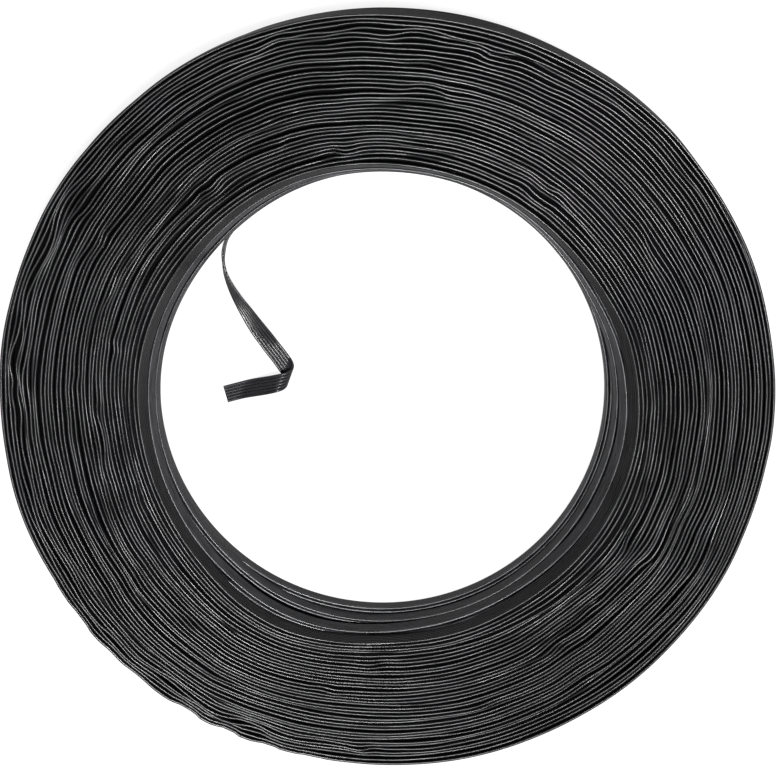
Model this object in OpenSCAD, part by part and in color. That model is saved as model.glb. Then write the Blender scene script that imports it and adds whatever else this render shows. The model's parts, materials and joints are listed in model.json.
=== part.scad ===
// A roll of flat parallel wire: six insulated wires bonded side by side into a ribbon.
// The ribbon is wound on edge, four ribbons high, round an open eye. The inner end peels
// off the foot of the eye wall, where the next turn then closes in. It twists down flat,
// folds over once and ends in a square cut.
// Millimetres, +Z up. The roll stands on the XY plane, centred on the Z axis.

/* [Wire] */
// Outer diameter of one insulated wire
wire_d = 0.8; // [0.7:0.05:0.9]
// Diameter of the stranded conductor inside each wire
conductor_d = 0.3; // [0.2:0.02:0.4]
// Clearance round a conductor in its insulation
conductor_gap = 0.01; // [0.01:0.01:0.03]

/* [Roll] */
// Diameter of the open eye at the foot of the roll
eye_d = 121.4; // [110:0.2:140]
// Turns of ribbon from the eye to the rim
turns = 44; // [24:1:60]
// Ribbons stacked edge to edge through the height
tiers = 4; // [3:1:5]
// Slack between one turn and the next
turn_gap = 0.17; // [0.12:0.01:0.3]
// Slack between one tier and the next
tier_gap = 0.2; // [0.1:0.05:0.4]
// Lean of the topmost ribbon at the eye, in degrees
eye_lean = 34; // [0:1:40]
// Lean of the topmost ribbon at the rim, in degrees
rim_lean = 22; // [0:1:30]

/* [Free end] */
// Direction of the point where the inner end leaves the eye wall, in degrees
exit_angle = 133; // [120:1:150]
// Radius of the fold, to the middle of the ribbon
fold_r = 2; // [1.2:0.1:3]
// Length of ribbon from the fold to the cut end
end_length = 14; // [12:0.5:20]

/* [Hidden] */

// Wires in the ribbon, with one conductor node for each
wires = 6;
wire_r = wire_d / 2;
ribbon_w = wires * wire_d;
pitch = wire_d + turn_gap;
tier_pitch = ribbon_w + tier_gap;
roll_h = tiers * tier_pitch - tier_gap;

// Middle of the innermost ribbon, and of the outermost one counted from it
first_r = eye_d / 2 + wire_r;
last_x = (turns - 1) * pitch;

// Past the exit the next turn closes in by one pitch over this many degrees
close_in = 30;
close_in_shift = pitch / (1 - cos(close_in));

// Half angles of the rounding that shows between turns and between bonded wires
turn_arc = 75;
bond_arc = 60;
// Segments of a rounded edge, and of a wire at a corner of the roll
edge_steps = 3;
corner_steps = 5;
// Depth of the groove between turns, below the middle of the edge wire
groove = 0.3 * wire_d;
// How fast the ribbons lean towards the top, and how far the top face dips beside them
lean_power = 1.5;
dip_w = 5 * wire_d;

// Sides of a wire and of a conductor in the free end
sides = 8;
side_angle = 360 / sides;
// The free end before its fold: distance along the exit, distance towards the middle of
// the eye, and lean of the ribbon from on edge (0) to flat (90)
run_in = [
    [0, 0, 0], [2.9, 0.7, 0], [5.5, 2.3, 0], [7.7, 4.5, 6], [9.4, 7, 13], [10.6, 9.8, 22],
    [11.5, 12.7, 32], [12.2, 15.6, 42], [12.8, 18.6, 53], [13.4, 21.6, 64], [13.9, 24.5, 75],
    [14.3, 27.5, 84], [14.7, 30.5, 90], [15, 33.5, 90], [15.2, 35, 90]
];
// Direction of the crease, measured from the exit direction
crease_angle = 27;
// Rings through the fold, and from the fold to the cut end
fold_rings = 9;
end_rings = 5;

// --- Section of the roll -------------------------------------------------------------

function direction(a) = [cos(a), sin(a)];

// Points of an arc round c. A snug arc has its segments, not its points, on the radius.
function arc(c, from, to, steps, snug) =
    let (r = snug ? wire_r / cos((to - from) / steps / 2) : wire_r)
    [for (i = [0:steps]) c + r * direction(from + (to - from) * i / steps)];

// Lean of a tier, and where its ribbon starts, in a wall whose top tier leans by top
function lean(tier, top) = top * pow(tier / (tiers - 1), lean_power);
function tier_start(tier, top) =
    tier == 0 ? [0, 0]
    : tier_start(tier - 1, top) + tier_pitch * direction(90 - lean(tier - 1, top));

// Middle of wire number w, counted up a wall
function wall_wire(w, top) =
    let (tier = floor(w / wires), up = (w - tier * wires + 0.5) * wire_d)
    tier_start(tier, top) + up * direction(90 - lean(tier, top));

wall_wires = tiers * wires;
eye_top = wall_wire(wall_wires - 1, eye_lean);
rim_top = wall_wire(wall_wires - 1, rim_lean);

function mirrored(p) = [last_x - p[0], p[1]];

// The eye wall, going up: one rounded edge for each wire, and a rounder one at each end
eye_wall = [
    for (w = [0:wall_wires - 1])
        let (
            c = wall_wire(w, eye_lean),
            out = 180 - lean(floor(w / wires), eye_lean),
            foot = w == 0,
            top = w == wall_wires - 1
        )
        each arc(c, foot ? 360 - turn_arc / 5 : out + bond_arc, top ? 90 - turn_arc : out - bond_arc,
            foot || top ? corner_steps : edge_steps, !(foot || top))
];

// The rim wall, going down
rim_wall = [
    for (w = [wall_wires - 1:-1:0])
        let (
            c = mirrored(wall_wire(w, rim_lean)),
            out = lean(floor(w / wires), rim_lean),
            foot = w == 0,
            top = w == wall_wires - 1
        )
        each arc(c, top ? 90 + turn_arc : out + bond_arc, foot ? turn_arc / 5 - 180 : out - bond_arc,
            foot || top ? corner_steps : edge_steps, !(foot || top))
];

// Height of the top edge wire at x: level, with a dip beside each leaning wall
function dip(x, top_wire) =
    (roll_h - wire_r - top_wire[1]) * pow(max(0, 1 - (x - top_wire[0]) / dip_w), 2);
function top_z(x) = roll_h - wire_r - dip(x, eye_top) - dip(last_x - x, rim_top);

// The turns between the walls, on the top face and on the foot
top_turns = [
    for (k = [1:turns - 2])
        if (k * pitch > eye_top[0] + wire_d && last_x - k * pitch > rim_top[0] + wire_d) k
];
top_face = [
    for (k = top_turns)
        let (x = k * pitch, z = top_z(x))
        each concat([[x - pitch / 2, z - groove]], arc([x, z], 90 + turn_arc, 90 - turn_arc, edge_steps, true))
];
foot_face = [
    for (k = [turns - 2:-1:1])
        let (x = k * pitch)
        each concat([[x + pitch / 2, wire_r + groove]], arc([x, wire_r], turn_arc - 90, -90 - turn_arc, edge_steps, true))
];

section = concat(eye_wall, top_face, rim_wall, foot_face);

// What the free end leaves open at the foot of the eye wall: the room in front of the next
// turn, one ribbon high
room = concat(
    [[-3 * pitch, -wire_d], [-wire_r, -wire_d]],
    [
        for (w = [0:wires - 1])
            each arc([0, (w + 0.5) * wire_d], w == 0 ? 180 : 180 + bond_arc, 180 - bond_arc, edge_steps, true)
    ],
    [[-wire_r, ribbon_w + tier_gap / 2], [-3 * pitch, ribbon_w + tier_gap / 2]]
);

module roll() {
    color([0.10, 0.10, 0.11]) difference() {
        rotate_extrude($fn = 180) translate([first_r, 0]) polygon(section);
        rotate(exit_angle) translate([close_in_shift, 0])
            rotate_extrude(angle = 1.5 * close_in, $fn = 180)
                translate([first_r + pitch - close_in_shift, 0]) polygon(room);
    }
}

// --- Free end ------------------------------------------------------------------------

function unit(v) = v / norm(v);
function flat_dir(a) = [cos(a), sin(a), 0];
up = [0, 0, 1];

// Rings are written in a frame at the exit: x along the ribbon, y towards the eye's middle
function rest_height(tilt) = ribbon_w / 2 * cos(tilt) + wire_r * sin(tilt);
run_path = [for (p = run_in) [p[0], p[1], rest_height(p[2])]];
last_in = len(run_in) - 1;

// Heading of the run at point i: straight out of the wall at the first one
function heading(i) =
    i == 0 ? [1, 0, 0]
    : let (step = run_path[min(i + 1, last_in)] - run_path[i - 1]) unit([step[0], step[1], 0]);

// A point of the ribbon at point i of the run, u across it and v through it
function run_point(i, u, v) =
    let (
        along = heading(i),
        left = cross(up, along),
        tilt = run_in[i][2],
        across = cos(tilt) * up + sin(tilt) * left,
        through = cross(along, across)
    )
    run_path[i] + u * across + v * through;

// The fold wraps the flat ribbon half round a rod that lies along the crease
fold_start = run_path[last_in];
heading_in = atan2(heading(last_in)[1], heading(last_in)[0]);
crease = flat_dir(crease_angle);
over = flat_dir(crease_angle + 90);
bevel = heading_in - crease_angle;
wrap = PI * fold_r;
// The wrap begins where the nearer edge of the ribbon reaches the rod
fold_lead = ribbon_w / 2 * cos(bevel);
fold_length = (wrap + 2 * fold_lead) / sin(bevel);

function smooth(t) = let (c = max(0, min(1, t))) c * c * (3 - 2 * c);

// A point of the ribbon at distance s past the start of the fold
function fold_point(s, u, v) =
    let (
        along = s * cos(bevel) - u * sin(bevel),
        past = s * sin(bevel) + u * cos(bevel) - fold_lead,
        turned = max(0, min(wrap, past)),
        a = 180 * turned / wrap,
        r = fold_r - v,
        beyond = max(0, past - wrap),
        settled = 2 * fold_r * smooth(beyond / (end_length * sin(bevel) * 0.8))
    )
    fold_start + along * crease + (min(0, past) + fold_lead + r * sin(a) - beyond) * over
        + (fold_r - r * cos(a) - settled) * up;

// Stations past the run: through the fold, then to the cut end
fold_stations = [for (i = [1:fold_rings]) fold_length * i / fold_rings];
end_stations = [for (i = [1:end_rings]) fold_length + end_length * i / end_rings];
stations = concat(fold_stations, end_stations);

function ribbon_point(ring, u, v) =
    ring <= last_in ? run_point(ring, u, v) : fold_point(stations[ring - last_in - 1], u, v);
rings = len(run_in) + len(stations);

// Points of an eight-sided loop of the given radius round wire w, on every ring
function loop_points(w, r) = [
    for (ring = [0:rings - 1], i = [0:sides - 1])
        let (
            a = (i + 0.5) * side_angle,
            reach = r / cos(side_angle / 2),
            u = (w + 0.5) * wire_d - ribbon_w / 2
        )
        ribbon_point(ring, u + reach * cos(a), reach * sin(a))
];

// A side from i to the next, between one ring and the next, of a loop that starts at base
function side_face(base, ring, i) =
    let (j = (i + 1) % sides, here = base + ring * sides, next = here + sides)
    [here + i, next + i, next + j, here + j];
function reversed(face) = [for (i = [len(face) - 1:-1:0]) face[i]];

module place_free_end() {
    rotate(exit_angle) translate([first_r, 0]) rotate(90) children();
}

// The insulation: six eight-sided lobes that share a side with their neighbours, each bored
module free_end() {
    loop = rings * sides;
    last = rings - 1;
    points = concat(
        [for (w = [0:wires - 1]) each loop_points(w, wire_r)],
        [for (w = [0:wires - 1]) each loop_points(w, conductor_d / 2 + conductor_gap)]
    );
    right = sides - 1;
    left = sides / 2 - 1;
    walls = [
        for (w = [0:wires - 1], ring = [0:last - 1], i = [0:sides - 1])
            if ((i != right || w == wires - 1) && (i != left || w == 0))
                side_face(w * loop, ring, i)
    ];
    bores = [
        for (w = [wires:2 * wires - 1], ring = [0:last - 1], i = [0:sides - 1])
            reversed(side_face(w * loop, ring, i))
    ];
    caps = [
        for (w = [0:wires - 1], ring = [0, last], i = [0:sides - 1])
            let (
                j = (i + 1) % sides,
                outer = w * loop + ring * sides,
                inner = outer + wires * loop,
                face = [outer + i, outer + j, inner + j, inner + i]
            )
            ring == 0 ? face : reversed(face)
    ];
    color([0.10, 0.10, 0.11]) place_free_end() polyhedron(points, concat(walls, bores, caps));
}

module conductor(w) {
    last = rings - 1;
    walls = [for (ring = [0:last - 1], i = [0:sides - 1]) side_face(0, ring, i)];
    start_cap = [for (i = [0:sides - 1]) i];
    end_cap = [for (i = [sides - 1:-1:0]) last * sides + i];
    color([0.78, 0.76, 0.74]) place_free_end()
        polyhedron(loop_points(w, conductor_d / 2), concat(walls, [start_cap, end_cap]));
}

roll();
free_end();
conductor(0);  // conductor_1
conductor(1);  // conductor_2
conductor(2);  // conductor_3
conductor(3);  // conductor_4
conductor(4);  // conductor_5
conductor(5);  // conductor_6
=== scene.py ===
"""Looks of a roll of flat parallel wire: six black wires bonded side by side, wound on edge.

The turns of the top tier are swept one by one, each with its own slack, lean and waves. The
eye wall, the rim and the foot are swept the same way, a dull ring fills the winding behind
them, and the free end follows the route of the CAD part. Lengths are in metres and all places
come from the frame. Directions round the roll are named in degrees from +X.
"""

import json
import math

import bpy
import numpy as np
from mathutils import Matrix, Vector


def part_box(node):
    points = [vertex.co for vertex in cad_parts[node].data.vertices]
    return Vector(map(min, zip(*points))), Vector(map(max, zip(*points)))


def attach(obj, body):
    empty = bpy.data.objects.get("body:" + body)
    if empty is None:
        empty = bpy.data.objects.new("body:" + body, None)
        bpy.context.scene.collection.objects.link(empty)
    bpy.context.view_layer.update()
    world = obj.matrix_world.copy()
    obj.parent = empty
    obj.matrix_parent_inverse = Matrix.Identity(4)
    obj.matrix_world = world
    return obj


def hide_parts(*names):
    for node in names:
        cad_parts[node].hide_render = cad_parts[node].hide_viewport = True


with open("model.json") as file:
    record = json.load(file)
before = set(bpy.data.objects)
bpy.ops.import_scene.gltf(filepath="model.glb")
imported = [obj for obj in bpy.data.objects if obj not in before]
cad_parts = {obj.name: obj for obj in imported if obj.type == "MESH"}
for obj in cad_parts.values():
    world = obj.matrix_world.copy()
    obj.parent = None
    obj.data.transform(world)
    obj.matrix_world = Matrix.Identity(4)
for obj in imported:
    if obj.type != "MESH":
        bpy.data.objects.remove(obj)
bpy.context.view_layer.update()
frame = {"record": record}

MM = 0.001

# --- Sizes ---------------------------------------------------------------------------

WIRES = 6
WIRE_D = 0.8 * MM
WIRE_R = WIRE_D / 2
RIBBON_W = WIRES * WIRE_D

# Slack between one turn and the next, and between one tier and the next
TURN_GAP = 0.17 * MM
TIER_GAP = 0.2 * MM
PITCH = WIRE_D + TURN_GAP
TIERS = 4
TIER_PITCH = RIBBON_W + TIER_GAP

RIM_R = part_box("roll")[1].x
EYE_R = next(m for m in frame["record"]["mounts"] if m["name"] == "eye")["dims"]["r_mm"] * MM

# Where the free end leaves the eye wall
EXIT_ANGLE = 133
EXIT_R = EYE_R + WIRE_R

# The top tier starts further out than the tiers below, and its turns lie looser
TOP_TURNS = 36
# Each of its turns, counted from the eye and from the rim
FROM_EYE = np.arange(TOP_TURNS)[:, None]
FROM_RIM = TOP_TURNS - 1 - FROM_EYE

# Points round the roll
STEPS = 380
ANGLES = np.arange(STEPS) * 2 * math.pi / STEPS


# --- Shapes round the roll ------------------------------------------------------------

def smooth(t):
    """Goes from 0 to 1 as t does, and is level at both ends."""
    return t * t * (3 - 2 * t)


def angle_past(centre, angles):
    """How far the angles are past the centre, in radians, the short way round."""
    return (angles - math.radians(centre) + math.pi) % (2 * math.pi) - math.pi


def window(centre, half_width, angles=ANGLES):
    """A smooth bump over the angles, one at its centre and nothing past its half width."""
    away = np.abs(angle_past(centre, angles))
    return smooth(np.clip(1 - away / math.radians(half_width), 0, 1))


def waves(rng, rows, first, last, fall, angles=ANGLES):
    """Smooth closed waves round the roll, one row for each turn, with a spread of about one.

    Each row adds up from first to last waves a round. A larger fall makes the short ones
    weaker.
    """
    orders = np.arange(first, last + 1)
    size = orders ** -fall
    size *= math.sqrt(2 / (size ** 2).sum())
    strength = rng.normal(size=(rows, len(orders))) * size
    phase = rng.uniform(0, 2 * math.pi, (rows, len(orders)))
    return np.einsum("km,kms->ks", strength, np.cos(orders[:, None] * angles + phase[:, :, None]))


def calm(angles):
    """The turns lie more evenly on the far right of the roll: one elsewhere, less there."""
    return 1 - 0.75 * window(32, 50, angles)


# Where the turns are bent most: angle in degrees, place across the turns (0 inside, 1 at the
# rim), half width in degrees and strength
STRONG_BENDS = [
    (105, 0.92, 1.6, 1.6), (88, 0.88, 2.2, -1.2), (80, 0.53, 2.2, 1.4), (76, 0.82, 2.2, 1.2),
    (57, 0.1, 2.5, 1.6), (53, 0.2, 2.0, -1.4), (33, 0.43, 3.0, 1.4), (-31, 0.2, 2.5, -1.6),
    (-110, 0.93, 1.5, 1.6), (-115, 0.9, 1.8, -1.4), (-170, 0.32, 3.0, 1.4), (177, 0.9, 1.4, 1.6),
    (153, 0.62, 3.0, 1.5),
]


def kinks(rng, rows, count, half_width, reach):
    """Short bends: the strong ones, and a count of random ones about as wide as half_width.

    A bend goes out and comes back in. The turns on either side of it share it, and it fades
    over as many turns as its reach.
    """
    bends = []
    for _ in range(count):
        centre = rng.uniform(0, 360)
        place = rng.uniform(0, 1)
        width = half_width * math.exp(rng.normal(0, 0.35))
        strength = rng.normal() * calm(math.radians(centre))
        bends.append((centre, place, width, strength))
    turn = np.arange(rows)[:, None]
    total = np.zeros((rows, STEPS))
    for centre, place, width, strength in bends + STRONG_BENDS:
        from_row = turn - place * (rows - 1)
        slant = rng.normal(0, 0.25)
        along = angle_past(centre, ANGLES) / math.radians(width) + slant * from_row
        out_and_in = along * np.exp(0.5 - 0.5 * along ** 2)
        total += strength * out_and_in * np.exp(-np.abs(from_row) / reach)
    return total


def spread(first, last, thickness, share):
    """Radii of turns from the first curve to the last: each takes its thickness, and the slack
    that is left is shared out in proportion to share."""
    gaps = share / share.sum(0) * (last - first - thickness.sum(0))
    return first + np.concatenate([np.zeros((1, share.shape[1])), np.cumsum(thickness + gaps, 0)])


def eye_radius(angles):
    """The foot of the eye wall. It is true at the exit, and a little off centre elsewhere."""
    off_centre = 1.1 * MM
    return EYE_R - off_centre * np.cos(angles) * (1 - window(EXIT_ANGLE, 45, angles))


def flat(value):
    """The same value all the way round."""
    return np.full(STEPS, float(value))


# --- Ribbon sections ------------------------------------------------------------------

# Half the arc of a wire that shows on a side of the ribbon
LOBE = math.radians(50)
# The arc of a wire that shows at an edge of the ribbon
CAP_ARC = (math.radians(-30), math.radians(210))
# From the middle of the ribbon to the groove between two wires, and to a side without lobes
VALLEY = 0.35 * WIRE_R
PLAIN_SIDE = 0.9 * WIRE_R


def side(lobes, out):
    """Points down one side of a ribbon, below its edge wire, as (down, through) pairs."""
    points = []
    for wire in range(1, lobes):
        points.append((wire * WIRE_D, out * VALLEY))
        for turn in (-LOBE, 0, LOBE):
            down = (wire + 0.5) * WIRE_D + WIRE_R * math.sin(turn)
            points.append((down, out * WIRE_R * math.cos(turn)))
    if lobes < 2:
        points += [(WIRE_D, out * VALLEY), (1.3 * WIRE_D, out * PLAIN_SIDE)]
    return points


def section(inner_lobes, outer_lobes, depth=RIBBON_W, cap=7):
    """A closed section that hangs from its round top edge. Through is positive outwards.

    Each side has as many lobes as its wires that can be seen, the edge wire among them. Cap
    is the number of points round the edge.
    """
    top = [(WIRE_R * (1 - math.sin(a)), -WIRE_R * math.cos(a)) for a in np.linspace(*CAP_ARC, cap)]
    foot = [(depth, VALLEY), (depth, -VALLEY)]
    return np.array(side(inner_lobes, -1)[::-1] + top + side(outer_lobes, 1) + foot)


# --- Meshes ---------------------------------------------------------------------------

def add_object(name, data):
    """Puts a mesh, a light or a camera in the scene."""
    piece = bpy.data.objects.new(name, data)
    bpy.context.scene.collection.objects.link(piece)
    return piece


def add_surface(name, points, faces, material):
    """One smooth shaded object from lists of points and faces."""
    mesh = bpy.data.meshes.new(name)
    mesh.from_pydata(points, [], faces)
    mesh.validate()
    mesh.shade_smooth()
    mesh.materials.append(material)
    return add_object(name, mesh)


def add_parts(name, parts, material):
    """One smooth shaded object from arrays of points and faces, a pair for each part."""
    base = 0
    vertices = []
    faces = []
    for points, quads in parts:
        vertices.append(points.reshape(-1, 3))
        faces += (quads + base).tolist()
        base += len(vertices[-1])
    return add_surface(name, np.concatenate(vertices).tolist(), faces, material)


def swept_faces(rings, points, closed):
    """Quads between rings of points. The last ring joins the first where the path is closed."""
    ring = np.arange(rings if closed else rings - 1)[:, None]
    after = (ring + 1) % rings
    here = np.arange(points)[None, :]
    there = (here + 1) % points
    corners = [(ring, here), (ring, there), (after, there), (after, here)]
    corners = np.broadcast_arrays(*[row * points + point for row, point in corners])
    return np.stack(corners, -1).reshape(-1, 4)


def around(r, z, angles=ANGLES):
    """Points of a sweep round the roll: one row of radii and of heights for each angle."""
    return np.stack([r * np.cos(angles)[:, None], r * np.sin(angles)[:, None], z], -1)


def swept_ribbon(top_r, top_z, foot_r, foot_z, outline, angles=ANGLES, closed=True):
    """Sweeps a section round the roll, hung from its top edge towards its foot."""
    down = np.stack([foot_r - top_r, foot_z - top_z], -1)
    down /= np.linalg.norm(down, axis=-1, keepdims=True)
    out = np.stack([-down[:, 1], down[:, 0]], -1)
    place = (
        np.stack([top_r, top_z], -1)[:, None, :]
        + outline[None, :, :1] * down[:, None, :]
        + outline[None, :, 1:] * out[:, None, :]
    )
    points = around(place[..., 0], place[..., 1], angles)
    return points, swept_faces(len(angles), len(outline), closed)


# --- Materials ------------------------------------------------------------------------

def new_material(name):
    """A new material, with its node tree and its shader."""
    material = bpy.data.materials.new(name)
    material.use_nodes = True
    return material, material.node_tree, material.node_tree.nodes["Principled BSDF"]


def set_inputs(tree, node, inputs):
    """Sets inputs of a node, each to a value or to the output of another node."""
    for name, value in inputs.items():
        if isinstance(value, bpy.types.NodeSocket):
            tree.links.new(value, node.inputs[name])
        else:
            node.inputs[name].default_value = value


def add_node(tree, kind, inputs, **settings):
    """Adds a node, and returns its outputs."""
    node = tree.nodes.new("ShaderNode" + kind)
    for name, value in settings.items():
        setattr(node, name, value)
    set_inputs(tree, node, inputs)
    return node.outputs


def multiplied(tree, source, factor):
    """A number times a factor."""
    return add_node(tree, "Math", {0: source, 1: factor}, operation="MULTIPLY")[0]


def object_place(tree):
    """Coordinates of the object, in metres."""
    return add_node(tree, "TexCoord", {})["Object"]


def polar_place(tree, along, across):
    """Coordinates that run with the turns, so that a noise is drawn out along them."""
    axes = add_node(tree, "SeparateXYZ", {0: object_place(tree)})
    turn = add_node(tree, "Math", {0: axes["Y"], 1: axes["X"]}, operation="ARCTAN2")[0]
    level = add_node(tree, "CombineXYZ", {"X": axes["X"], "Y": axes["Y"]})[0]
    radius = add_node(tree, "VectorMath", {0: level}, operation="LENGTH")["Value"]
    scaled = {
        "X": multiplied(tree, turn, along),
        "Y": multiplied(tree, radius, across),
        "Z": multiplied(tree, axes["Z"], across),
    }
    return add_node(tree, "CombineXYZ", scaled)[0]


def noise(tree, place, scale, detail):
    """Noise between 0 and 1, finer with a larger scale."""
    return add_node(tree, "TexNoise", {"Vector": place, "Scale": scale, "Detail": detail})["Fac"]


def ramp(tree, source, low, high):
    """A number that goes from low to high as a noise goes from 0.3 to 0.7."""
    ends = {"From Min": 0.3, "From Max": 0.7, "To Min": low, "To Max": high}
    return add_node(tree, "MapRange", {"Value": source, **ends})["Result"]


def mixed(tree, source, low, high):
    """A colour that goes from low to high as a noise does."""
    ends = {"Factor": ramp(tree, source, 0, 1), "A": (*low, 1), "B": (*high, 1)}
    return add_node(tree, "Mix", ends, data_type="RGBA")["Result"]


def insulation_material(name, darkest, lightest, follows_turns):
    """Black extruded PVC: satin, a little uneven along the wire, with a fine grain."""
    material, tree, shader = new_material(name)
    cool_black = np.array([1, 1, 1.12])

    def drawn_noise(along, across, plain, detail):
        """Noise drawn out along the turns, or plain noise where there are no turns."""
        if follows_turns:
            return noise(tree, polar_place(tree, along, across), 1, detail)
        return noise(tree, object_place(tree), plain, detail)

    streaks = drawn_noise(9, 900, 160, 3)
    patches = drawn_noise(4, 350, 70, 3)
    grain = drawn_noise(40, 3000, 3000, 2)
    dull = {0: ramp(tree, patches, 0.22, 0.34), 1: ramp(tree, streaks, -0.03, 0.06)}
    bump = {"Strength": 0.1 if follows_turns else 0.01, "Distance": 0.03 * MM, "Height": grain}
    set_inputs(tree, shader, {
        "Base Color": mixed(tree, streaks, darkest * cool_black, lightest * cool_black),
        "Roughness": add_node(tree, "Math", dull, operation="ADD")[0],
        "Normal": add_node(tree, "Bump", bump)["Normal"],
    })
    return material


def painted_shade_material():
    """Painted shade for the turns deep between the others: dull black with next to no gloss, where next
    to no light gets.
    """
    material, tree, shader = new_material("painted_shade_deep_turns")
    set_inputs(tree, shader, {
        "Base Color": (0.003, 0.003, 0.0034, 1),
        "Roughness": 0.9,
        "Specular IOR Level": 0.08,
    })
    return material


def tinned_material():
    """Bright tinned copper strands, with a little of the copper showing."""
    material, tree, shader = new_material("tinned_strands")
    tin = (0.62, 0.6, 0.57)
    copper = (0.74, 0.58, 0.44)
    stain = noise(tree, object_place(tree), 2600, 2)
    set_inputs(tree, shader, {
        "Base Color": mixed(tree, stain, tin, copper),
        "Roughness": ramp(tree, stain, 0.22, 0.42),
        "Metallic": 1,
    })
    return material


# How bright the floor and what lies behind it look to the camera
PAPER_WHITE = 0.87


def floor_material():
    """A floor that shows white to the camera and in gloss, and still takes the shadow."""
    material, tree, shader = new_material("white_floor")
    rays = add_node(tree, "LightPath", {})
    in_gloss = multiplied(tree, rays["Is Glossy Ray"], 0.45)
    glow = {0: rays["Is Camera Ray"], 1: PAPER_WHITE, 2: in_gloss}
    set_inputs(tree, shader, {
        "Base Color": (0.22, 0.22, 0.22, 1),
        "Roughness": 0.9,
        "Specular IOR Level": 0,
        "Emission Color": (1, 1, 1, 1),
        "Emission Strength": add_node(tree, "Math", glow, operation="MULTIPLY_ADD")[0],
    })
    return material


# --- The top tier ---------------------------------------------------------------------

# Lean of each tier of the eye wall, in degrees, from the foot up
WALL_LEANS = (0, 5, 11, 23)
# Over how many turns the lean of the eye wall and of the rim dies away
EYE_LEAN_TURNS = 4.5
RIM_LEAN_TURNS = 1.6
# Room that a turn takes, a hair more than its wires, and what it gives up where it has sunk
TURN_ROOM = 1.01 * WIRE_D
SINK_SHARE = 0.6
# How deep a turn sinks between its neighbours, and how far all tops have settled
SINK = 1.2 * MM
SETTLED = 0.1 * MM
# Turns next to the eye that show all their wires, and how much of the others is made
LOBED_TURNS = 7
EDGE_DEPTH = 3.4 * MM
# The pieces of the top tier: the first turn of each, and the first one past it
TOP_PIECES = {"inner": (0, 6), "middle": (6, 20), "outer": (20, TOP_TURNS)}


def wall_leans():
    """How far each tier of the eye wall leans back, in radians. The right side leans most."""
    flare = 1 + 0.35 * window(-8, 60) - 0.5 * window(-95, 70) - 0.6 * window(70, 75)
    return [np.radians(lean) * flare for lean in WALL_LEANS]


def eye_wall(rng, leans):
    """Innermost edge of each tier of the eye wall: (foot radius, top radius) of each tier.

    Each tier stands back from the one below, and most of all towards -Y and +X.
    """
    wider = 1 + 2.2 * window(-95, 75) + 1.5 * window(-15, 60)
    foot = eye_radius(ANGLES) + WIRE_R
    tiers = []
    for lean in leans:
        top = foot + RIBBON_W * np.sin(lean)
        tiers.append((foot, top))
        ledge = (0.45 + 0.35 * np.tanh(waves(rng, 1, 1, 7, 0.8)[0])) * MM
        foot = top + ledge * wider
    return tiers


def rim_leans():
    """How far the outermost turn of the top tier leans inwards, in radians."""
    return np.radians(4 + 17 * window(77, 48) + 6 * window(-100, 40))


def rim_bays(rng):
    """How far the outermost turns are drawn in where the rim is uneven, each less than the
    one outside it."""
    bays = 0.5 + 0.5 * np.tanh(1.5 * waves(rng, 1, 30, 60, 0.2)[0])
    return 0.9 * MM * window(-126, 34) * bays * np.exp(-FROM_RIM / 3)


def sunk_turns(rng):
    """Where a turn has sunk between its neighbours, from 0 to 1. The walls stay up."""
    sunk = np.clip(1.2 * waves(rng, TOP_TURNS, 1, 9, 0.4) - 1.2, 0, 1) * calm(ANGLES)
    sunk[:2] = sunk[-2:] = 0
    return sunk


def slack_shares(rng):
    """How the slack is shared out between the turns: (at their tops, at their feet)."""
    uneven = 0.3 + 0.7 * calm(ANGLES)
    top = np.exp(1.2 * uneven * np.tanh(waves(rng, TOP_TURNS - 1, 1, 6, 0.6)))
    foot = top ** 0.7 * np.exp(0.25 * waves(rng, TOP_TURNS - 1, 1, 6, 0.6))
    return top, foot


def wander(rng):
    """How far the tops of the turns wander in and out.

    Every turn sways and has its kinks. Where the roll is restless, the outer turns ripple,
    each by itself, and a few turns near the rim ripple together. The walls keep their place.
    """
    free = np.minimum(1, np.minimum(FROM_EYE, FROM_RIM) / 3)
    outer = np.clip((9 - FROM_RIM) / 8, 0, 1)
    near_rim = np.exp(-np.abs(FROM_RIM - 4) / 3)
    restless = window(95, 60) + window(-140, 80) + window(165, 40) + 0.5 * window(40, 20)
    sway = 0.14 * MM * np.tanh(waves(rng, TOP_TURNS, 2, 20, 0.8))
    bends = 0.55 * MM * np.tanh(0.85 * kinks(rng, TOP_TURNS, 60, 2.0, 1.3))
    ripples = 0.4 * MM * outer * restless * np.tanh(waves(rng, TOP_TURNS, 12, 44, 0.4))
    shared = 0.4 * MM * near_rim * restless * waves(rng, 1, 14, 36, 0.5)
    return free * (sway + bends + ripples + shared)


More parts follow.
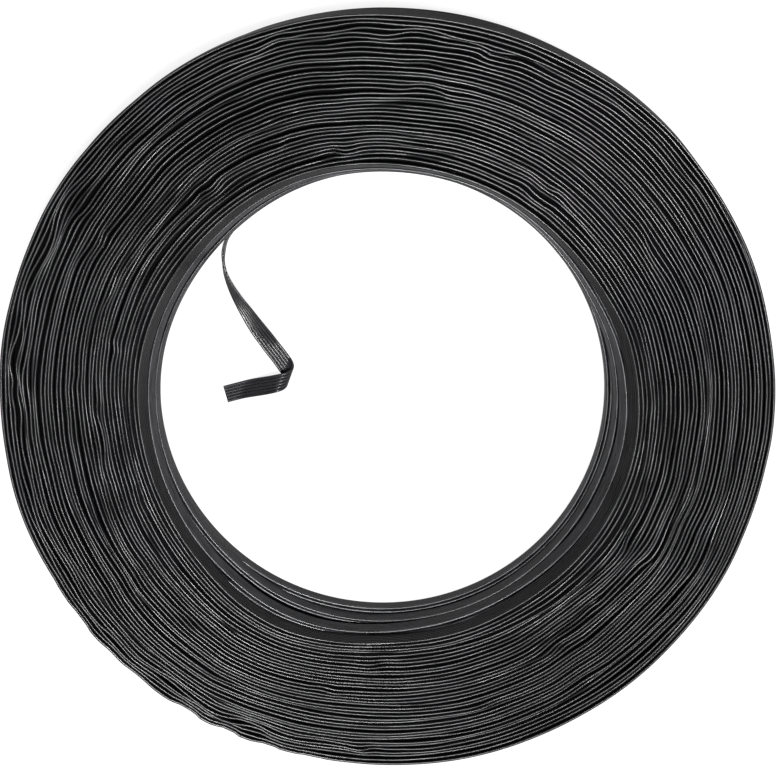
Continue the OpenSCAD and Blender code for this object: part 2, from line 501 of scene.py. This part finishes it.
def top_tier(rng, foot_in, top_in, eye_lean, material):
    """Every turn of the top tier, with its own slack, lean and height."""
    rim_lean = rim_leans()
    lean = eye_lean * np.exp(-FROM_EYE / EYE_LEAN_TURNS) - rim_lean * np.exp(-FROM_RIM / RIM_LEAN_TURNS)
    sunk = sunk_turns(rng)
    thickness = TURN_ROOM / np.cos(lean[:-1]) * (1 - SINK_SHARE * sunk[:-1])
    top_share, foot_share = slack_shares(rng)
    drawn_in = 0.2 * MM * (1 - np.tanh(waves(rng, 1, 3, 16, 0.6)[0]))
    foot_out = RIM_R - WIRE_R - drawn_in
    top_out = foot_out - RIBBON_W * np.sin(rim_lean)
    foot_r = spread(foot_in, foot_out, thickness, foot_share)
    top_r = spread(top_in, top_out, thickness, top_share)
    # Where the slack makes a turn lean otherwise, its foot follows a part of the way
    astray = top_r - foot_r - RIBBON_W * np.sin(lean)
    foot_r += (1 - 0.5 * calm(ANGLES)) * astray
    top_r += wander(rng)
    top_r -= rim_bays(np.random.default_rng(7))

    lift = 0.13 * MM * waves(rng, TOP_TURNS, 1, 30, 0.6) * np.where(FROM_RIM == 0, 0.5, 1)
    foot_z = (TIERS - 1) * TIER_PITCH + lift - SINK * sunk
    rise = np.sqrt(np.maximum(RIBBON_W ** 2 - (top_r - foot_r) ** 2, (RIBBON_W / 2) ** 2))
    top_z = foot_z + rise - SETTLED

    eye_side = section(WIRES, 1)
    rim_side = section(1, WIRES)
    edge = section(2, 1, EDGE_DEPTH, cap=6)
    outlines = [eye_side] * LOBED_TURNS + [edge] * (TOP_TURNS - LOBED_TURNS - 1) + [rim_side]
    turns = [swept_ribbon(*turn) for turn in zip(top_r, top_z, foot_r, foot_z, outlines)]
    return [
        add_parts(f"top_turns_{piece}", turns[first:end], material)
        for piece, (first, end) in TOP_PIECES.items()
    ]


# --- The other turns ------------------------------------------------------------------

def eye_turns(rng, tiers, material):
    """The innermost turns of the middle tiers. The ones behind have slid up."""
    slides = (0, 0.35 * MM, 0.8 * MM, 1.3 * MM)
    front = section(WIRES, 1)
    behind = section(3, 1, EDGE_DEPTH)
    parts = []
    for tier in range(1, TIERS - 1):
        foot_r, top_r = tiers[tier]
        lean = np.arcsin((top_r - foot_r) / RIBBON_W)
        for back, slide in enumerate(slides):
            along = slide + (0.25 + 0.3 * back) * MM * waves(rng, 1, 1, 7, 0.6)[0]
            slack = 0.2 * back * MM * (1 + np.tanh(waves(rng, 1, 1, 8, 0.6)[0]))
            step = back * WIRE_D / np.cos(lean) + along * np.sin(lean) + slack
            foot_z = tier * TIER_PITCH + along * np.cos(lean)
            top_z = foot_z + RIBBON_W * np.cos(lean)
            outline = behind if back else front
            parts.append(swept_ribbon(top_r + step, top_z, foot_r + step, foot_z, outline))
    return add_parts("eye_turns", parts, material)


def first_turns(material):
    """The innermost turns of the foot tier: a spiral that starts where the free end leaves."""
    turns = 3.2
    count = int(turns * STEPS)
    travel = np.arange(count + 1) * turns * 2 * math.pi / count
    angles = math.radians(EXIT_ANGLE) - travel
    middle = eye_radius(angles) + WIRE_R + PITCH * travel / (2 * math.pi)
    foot_z = np.zeros(count + 1)
    outline = section(WIRES, 1)[::-1]
    spiral = swept_ribbon(middle, foot_z + RIBBON_W, middle, foot_z, outline, angles, closed=False)
    return add_parts("first_turns", [spiral], material)


def rim_turns(rng, material):
    """The outermost turns of every tier but the top one, and a turn behind each."""
    step_in = 0.95 * MM
    outlines = (section(1, WIRES), section(2, 2))
    parts = []
    for tier in range(TIERS - 1):
        foot_in = np.minimum(0.18 * MM * waves(rng, 1, 2, 14, 0.7)[0] - 0.15 * MM, 0)
        top_in = np.minimum(0.2 * MM * waves(rng, 1, 2, 12, 0.7)[0] - 0.25 * MM, 0)
        foot_z = flat(tier * TIER_PITCH)
        for back, outline in enumerate(outlines):
            middle = RIM_R - WIRE_R - back * step_in
            top_r = middle + top_in
            foot_r = middle + foot_in
            parts.append(swept_ribbon(top_r, foot_z + RIBBON_W, foot_r, foot_z, outline))
    return add_parts("rim_turns", parts, material)


def foot_turns(rng, material):
    """The lower edges of the turns that the roll lies on. Their sections hang upwards."""
    count = 42
    angles = ANGLES[::3]
    share = np.exp(0.6 * waves(rng, count - 1, 1, 9, 0.5, angles))
    thickness = np.full(share.shape, WIRE_D)
    innermost = eye_radius(angles) + WIRE_R + PITCH
    outermost = RIM_R - WIRE_R - 0.9 * MM
    radii = spread(innermost, outermost, thickness, share)
    heights = np.abs(0.05 * MM * waves(rng, count, 1, 5, 0.5, angles))
    depth = 2 * MM
    outline = section(1, 1, depth, cap=3)[::-1]
    parts = [swept_ribbon(r, z, r, z + depth, outline, angles) for r, z in zip(radii, heights)]
    return add_parts("foot_turns", parts, material)


def winding_core(tiers, material):
    """The turns that nothing shows, as one ring behind the others."""
    behind_first_turns = 2.2 * MM
    behind_turns = 1.9 * MM
    low = 1.2 * MM
    high = (TIERS - 1) * TIER_PITCH + 1.4 * MM
    outer = flat(RIM_R - behind_turns)
    corners = [
        (eye_radius(ANGLES) + behind_first_turns, low),
        (tiers[1][1] + behind_turns, 2 * TIER_PITCH),
        (tiers[2][1] + behind_turns, high),
        (outer, high),
        (outer, low),
    ]
    r = np.stack([radius for radius, _ in corners], 1)
    z = np.broadcast_to([height for _, height in corners], r.shape)
    faces = swept_faces(STEPS, len(corners), True)[:, ::-1]
    return add_parts("winding_core", [(around(r, z), faces)], material)


# --- The free end ---------------------------------------------------------------------

# The route of the CAD part in millimetres: along the exit and towards the middle of the eye,
# with the lean of the ribbon from on edge (0) to flat (90)
RUN_IN = [
    (0, 0, 0), (2.9, 0.7, 0), (5.5, 2.3, 0), (7.7, 4.5, 6), (9.4, 7, 13), (10.6, 9.8, 22),
    (11.5, 12.7, 32), (12.2, 15.6, 42), (12.8, 18.6, 53), (13.4, 21.6, 64), (13.9, 24.5, 75),
    (14.3, 27.5, 84), (14.7, 30.5, 90), (15, 33.5, 90), (15.2, 35, 90),
]
CREASE_ANGLE = math.radians(27)
FOLD_R = 2 * MM
END_LENGTH = 14 * MM
UP = np.array([0.0, 0.0, 1.0])

STRAND_D = 0.1 * MM
# The strands stand proud of the cut by this, and reach this many rings back into it
STRAND_PROUD = 0.04 * MM
STRAND_RINGS = 26


def smooth_rows(rows, per_row):
    """Catmull-Rom points through the rows, with per_row steps from each row to the next."""
    rows = np.array(rows, float)
    rows = np.vstack([2 * rows[0] - rows[1], rows, 2 * rows[-1] - rows[-2]])
    out = []
    for i in range(1, len(rows) - 2):
        a, b, c, d = rows[i - 1:i + 3]
        for t in np.arange(per_row) / per_row:
            out.append(0.5 * (2 * b + (c - a) * t + (2 * a - 5 * b + 4 * c - d) * t ** 2
                              + (3 * b - a - 3 * c + d) * t ** 3))
    return np.array(out + [rows[-2]])


def run_in_rings(per_row=5):
    """The rings from the exit to the fold, and the place and heading of the last one."""
    run = smooth_rows(RUN_IN, per_row)
    tilt = np.radians(np.clip(run[:, 2], 0, 90))
    rest = RIBBON_W / 2 * np.cos(tilt) + WIRE_R * np.sin(tilt)
    path = np.column_stack([run[:, :2] * MM, rest])
    heading = np.gradient(path[:, :2], axis=0)
    heading[0] = (1, 0)
    heading /= np.linalg.norm(heading, axis=1, keepdims=True)
    rings = []
    for place, way, angle in zip(path, heading, tilt):
        along = np.array([way[0], way[1], 0])
        across = math.cos(angle) * UP + math.sin(angle) * np.cross(UP, along)
        through = np.cross(along, across)
        rings.append(lambda u, v, p=place, a=across, t=through: p + u * a + v * t)
    return rings, path[-1], heading[-1]


def fold_rings(start, heading, fold_steps=40, end_steps=30):
    """The rings from the fold to the cut end. The ribbon wraps half round a rod that lies
    along the crease, and comes down on the floor behind it."""
    crease = np.array([math.cos(CREASE_ANGLE), math.sin(CREASE_ANGLE), 0])
    over = np.array([-crease[1], crease[0], 0])
    bevel = math.atan2(heading[1], heading[0]) - CREASE_ANGLE
    wrap = math.pi * FOLD_R
    lead = RIBBON_W / 2 * math.cos(bevel)
    fold_length = (wrap + 2 * lead) / math.sin(bevel)
    settle = END_LENGTH * math.sin(bevel) * 0.8

    def folded(s, u, v):
        """The point (u, v) of the ribbon at distance s past the start of the fold."""
        along = s * math.cos(bevel) - u * math.sin(bevel)
        past = s * math.sin(bevel) + u * math.cos(bevel) - lead
        angle = min(max(past, 0), wrap) / FOLD_R
        beyond = max(0.0, past - wrap)
        r = FOLD_R - v
        sideways = min(0.0, past) + lead + r * math.sin(angle) - beyond
        height = FOLD_R - r * math.cos(angle) - 2 * FOLD_R * smooth(min(1.0, beyond / settle))
        return start + along * crease + sideways * over + height * UP

    stations = [fold_length * i / fold_steps for i in range(1, fold_steps + 1)]
    stations += [fold_length + END_LENGTH * i / end_steps for i in range(1, end_steps + 1)]
    return [lambda u, v, s=s: folded(s, u, v) for s in stations]


def free_end_rings():
    """A function from (across, through) to a point, for each ring along the free end."""
    rings, fold_start, heading = run_in_rings()
    return rings + fold_rings(fold_start, heading)


def placed(points):
    """Points of the free end's own frame, moved to its exit from the eye wall."""
    turn = math.radians(EXIT_ANGLE)
    place = Matrix.Translation((EXIT_R * math.cos(turn), EXIT_R * math.sin(turn), 0))
    matrix = np.array(place @ Matrix.Rotation(turn + math.pi / 2, 4, "Z"))
    return points @ matrix[:3, :3].T + matrix[:3, 3]


def ribbon_outline(steps=6, seam=16):
    """The whole section of the free end as (across, through) pairs, one lobe for each wire.

    The seam is the angle that a lobe loses where it meets the next one, in degrees.
    """
    points = []
    for out in (1, -1):
        for wire in range(WIRES):
            u = ((wire + 0.5) * WIRE_D - RIBBON_W / 2) * out
            first = 180 - (seam if wire > 0 else 0)
            last = seam if wire < WIRES - 1 else 0
            for a in np.radians(np.linspace(first, last, steps + 1)):
                points.append((u + WIRE_R * math.cos(a), out * WIRE_R * math.sin(a)))
    return points


def free_end(rings, material):
    """The insulation of the free end: one closed skin, with flat faces at its two ends."""
    outline = ribbon_outline()
    count = len(outline)
    skin = np.array([[ring(u, v) for u, v in outline] for ring in rings]).reshape(-1, 3)
    middles = np.array([rings[0](0, 0), rings[-1](0, 0)])
    start, end = len(skin), len(skin) + 1
    last = len(skin) - count
    after = [(i + 1) % count for i in range(count)]
    faces = swept_faces(len(rings), count, False).tolist()
    faces += [[start, i, after[i]] for i in range(count)]
    faces += [[end, last + after[i], last + i] for i in range(count)]
    points = placed(np.vstack([skin, middles]))
    piece = add_surface("free_end_insulation", points.tolist(), faces, material)
    for polygon in piece.data.polygons:
        polygon.use_smooth = len(polygon.vertices) == 4
    return piece


def hexagon(u, v, radius):
    """The corners of a hexagon round (u, v)."""
    sixths = np.arange(6) * math.pi / 3
    return [(u + radius * math.cos(a), v + radius * math.sin(a)) for a in sixths]


def strands(name, wire, rings, material):
    """Seven tinned strands in one wire, six round one, a little proud of the cut insulation."""
    middle = ((wire + 0.5) * WIRE_D - RIBBON_W / 2, 0)
    cut = np.array([[0, 1, 2, 3], [0, 3, 4, 5]])
    parts = []
    for u, v in [middle] + hexagon(*middle, STRAND_D):
        rim = hexagon(u, v, STRAND_D / 2)
        sweep = np.array([[ring(*point) for point in rim] for ring in rings[-STRAND_RINGS:]])
        onward = sweep[-1] - sweep[-2]
        onward /= np.linalg.norm(onward, axis=1, keepdims=True)
        points = placed(np.concatenate([sweep, [sweep[-1] + onward * STRAND_PROUD]]))
        parts.append((points, swept_faces(len(points), len(rim), False)))
        parts.append((points[-1], cut))
    return add_parts(name, parts, material)


# --- Stage, lights and camera ----------------------------------------------------------

def add_lamp(name, place, size, power):
    """A square lamp that faces the middle of the roll."""
    light = bpy.data.lights.new(name, "AREA")
    light.shape = "SQUARE"
    light.size = size
    light.energy = power
    lamp = add_object(name, light)
    lamp.location = place
    lamp.rotation_euler = (-Vector(place)).to_track_quat("-Z", "Y").to_euler()


def add_floor():
    """A wide floor that the roll lies on."""
    half = 40.0
    corners = [(-half, -half, 0), (half, -half, 0), (half, half, 0), (-half, half, 0)]
    floor = add_surface("floor", corners, [(0, 1, 2, 3)], floor_material())


def add_world():
    """Soft light from all round, and white where the camera looks past the floor."""
    world = bpy.data.worlds.new("studio")
    bpy.context.scene.world = world
    world.use_nodes = True
    tree = world.node_tree
    soft = tree.nodes["Background"]
    set_inputs(tree, soft, {"Color": (1, 1, 1, 1), "Strength": 0.13})
    seen = add_node(tree, "Background", {"Color": (PAPER_WHITE, PAPER_WHITE, PAPER_WHITE, 1)})[0]
    to_camera = add_node(tree, "LightPath", {})["Is Camera Ray"]
    either = add_node(tree, "MixShader", {"Fac": to_camera, 1: soft.outputs[0], 2: seen})[0]
    set_inputs(tree, tree.nodes["World Output"], {"Surface": either})


def add_camera():
    """Looks down on the roll, tilted a little, from the height that gives its perspective."""
    data = bpy.data.cameras.new("camera")
    data.sensor_width = 36
    data.lens = 76.87
    camera = add_object("camera", data)
    camera.location = (0.79 * MM, 96.4 * MM, 450.3 * MM)
    camera.rotation_euler = (math.radians(-12.05), 0, 0)
    bpy.context.scene.camera = camera


# --- Making ---------------------------------------------------------------------------

bpy.context.scene.view_settings.view_transform = "Standard"
add_camera()
add_floor()
add_world()
add_lamp("key", place=(0.1, -0.05, 1.1), size=0.18, power=14.2)
add_lamp("side", place=(0.9, -0.7, 0.7), size=0.7, power=3)

turns_black = insulation_material("black_turns", 0.0025, 0.012, follows_turns=True)
# The eye wall and the first turns get a lighter copy of the same black PVC: painted light for wall
# faces that the lamps barely reach
wall_black_painted_light = insulation_material("black_eye_wall_painted_light", 0.006, 0.055, follows_turns=True)
# The free end gets a lighter copy of the same black PVC: painted light that brightens its lobes
end_black_painted_light = insulation_material("black_free_end_painted_light", 0.014, 0.03, follows_turns=False)
tinned = tinned_material()

rings = free_end_rings()
loose_end = free_end(rings, end_black_painted_light)
for wire in range(WIRES):
    conductor = strands(f"strands_{wire + 1}", wire, rings, tinned)
    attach(conductor, "root")
    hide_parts(f"conductor_{wire + 1}")
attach(loose_end, "root")
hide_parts("free_end")
route = placed(np.array([ring(0, 0) for ring in rings]))

rng = np.random.default_rng(30)
leans = wall_leans()
tiers = eye_wall(rng, leans)
wound = top_tier(rng, tiers[3][0], tiers[3][1], leans[3], turns_black)
wound.append(eye_turns(rng, tiers, wall_black_painted_light))
wound.append(first_turns(wall_black_painted_light))
wound.append(rim_turns(rng, turns_black))
wound.append(foot_turns(rng, turns_black))
# The ring behind the turns wears painted shade: dull black where it shows through the gaps
wound.append(winding_core(tiers, painted_shade_material()))
for piece in wound:
    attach(piece, "root")
    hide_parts("roll")
